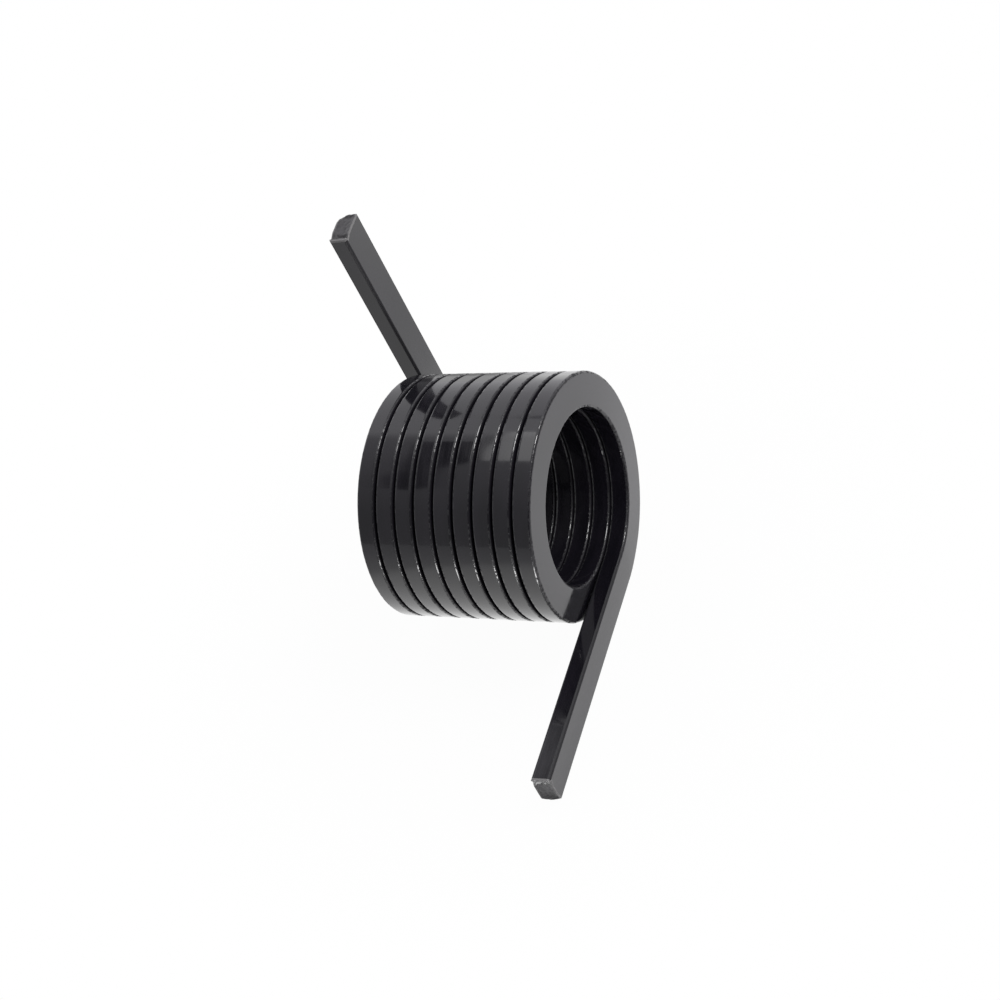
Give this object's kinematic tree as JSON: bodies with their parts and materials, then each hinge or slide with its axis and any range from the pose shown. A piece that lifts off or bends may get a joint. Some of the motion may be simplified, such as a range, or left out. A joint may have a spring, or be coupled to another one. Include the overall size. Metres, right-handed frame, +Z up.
{
  "type": "torsion spring",
  "caption": "Left-hand torsion spring coiled from rectangular wire, with straight tangential legs at about a right angle, to turn or hold a lever about an arbor.",
  "frame": {"origin": "centre of the bore: on the coil axis, halfway along the coil", "axes": "+Y along the coil axis, from the front leg's end to the rear leg's; +Z up from the flat that the spring lies on; the front leg lies along -X and the rear leg stands up"},
  "size_m": [0.0562, 0.0324, 0.0568],
  "materials": {
    "black_coat": "gloss"
  },
  "bodies": {
    "root": {"torsion_spring": "black_coat"}
  },
  "joints": []
}
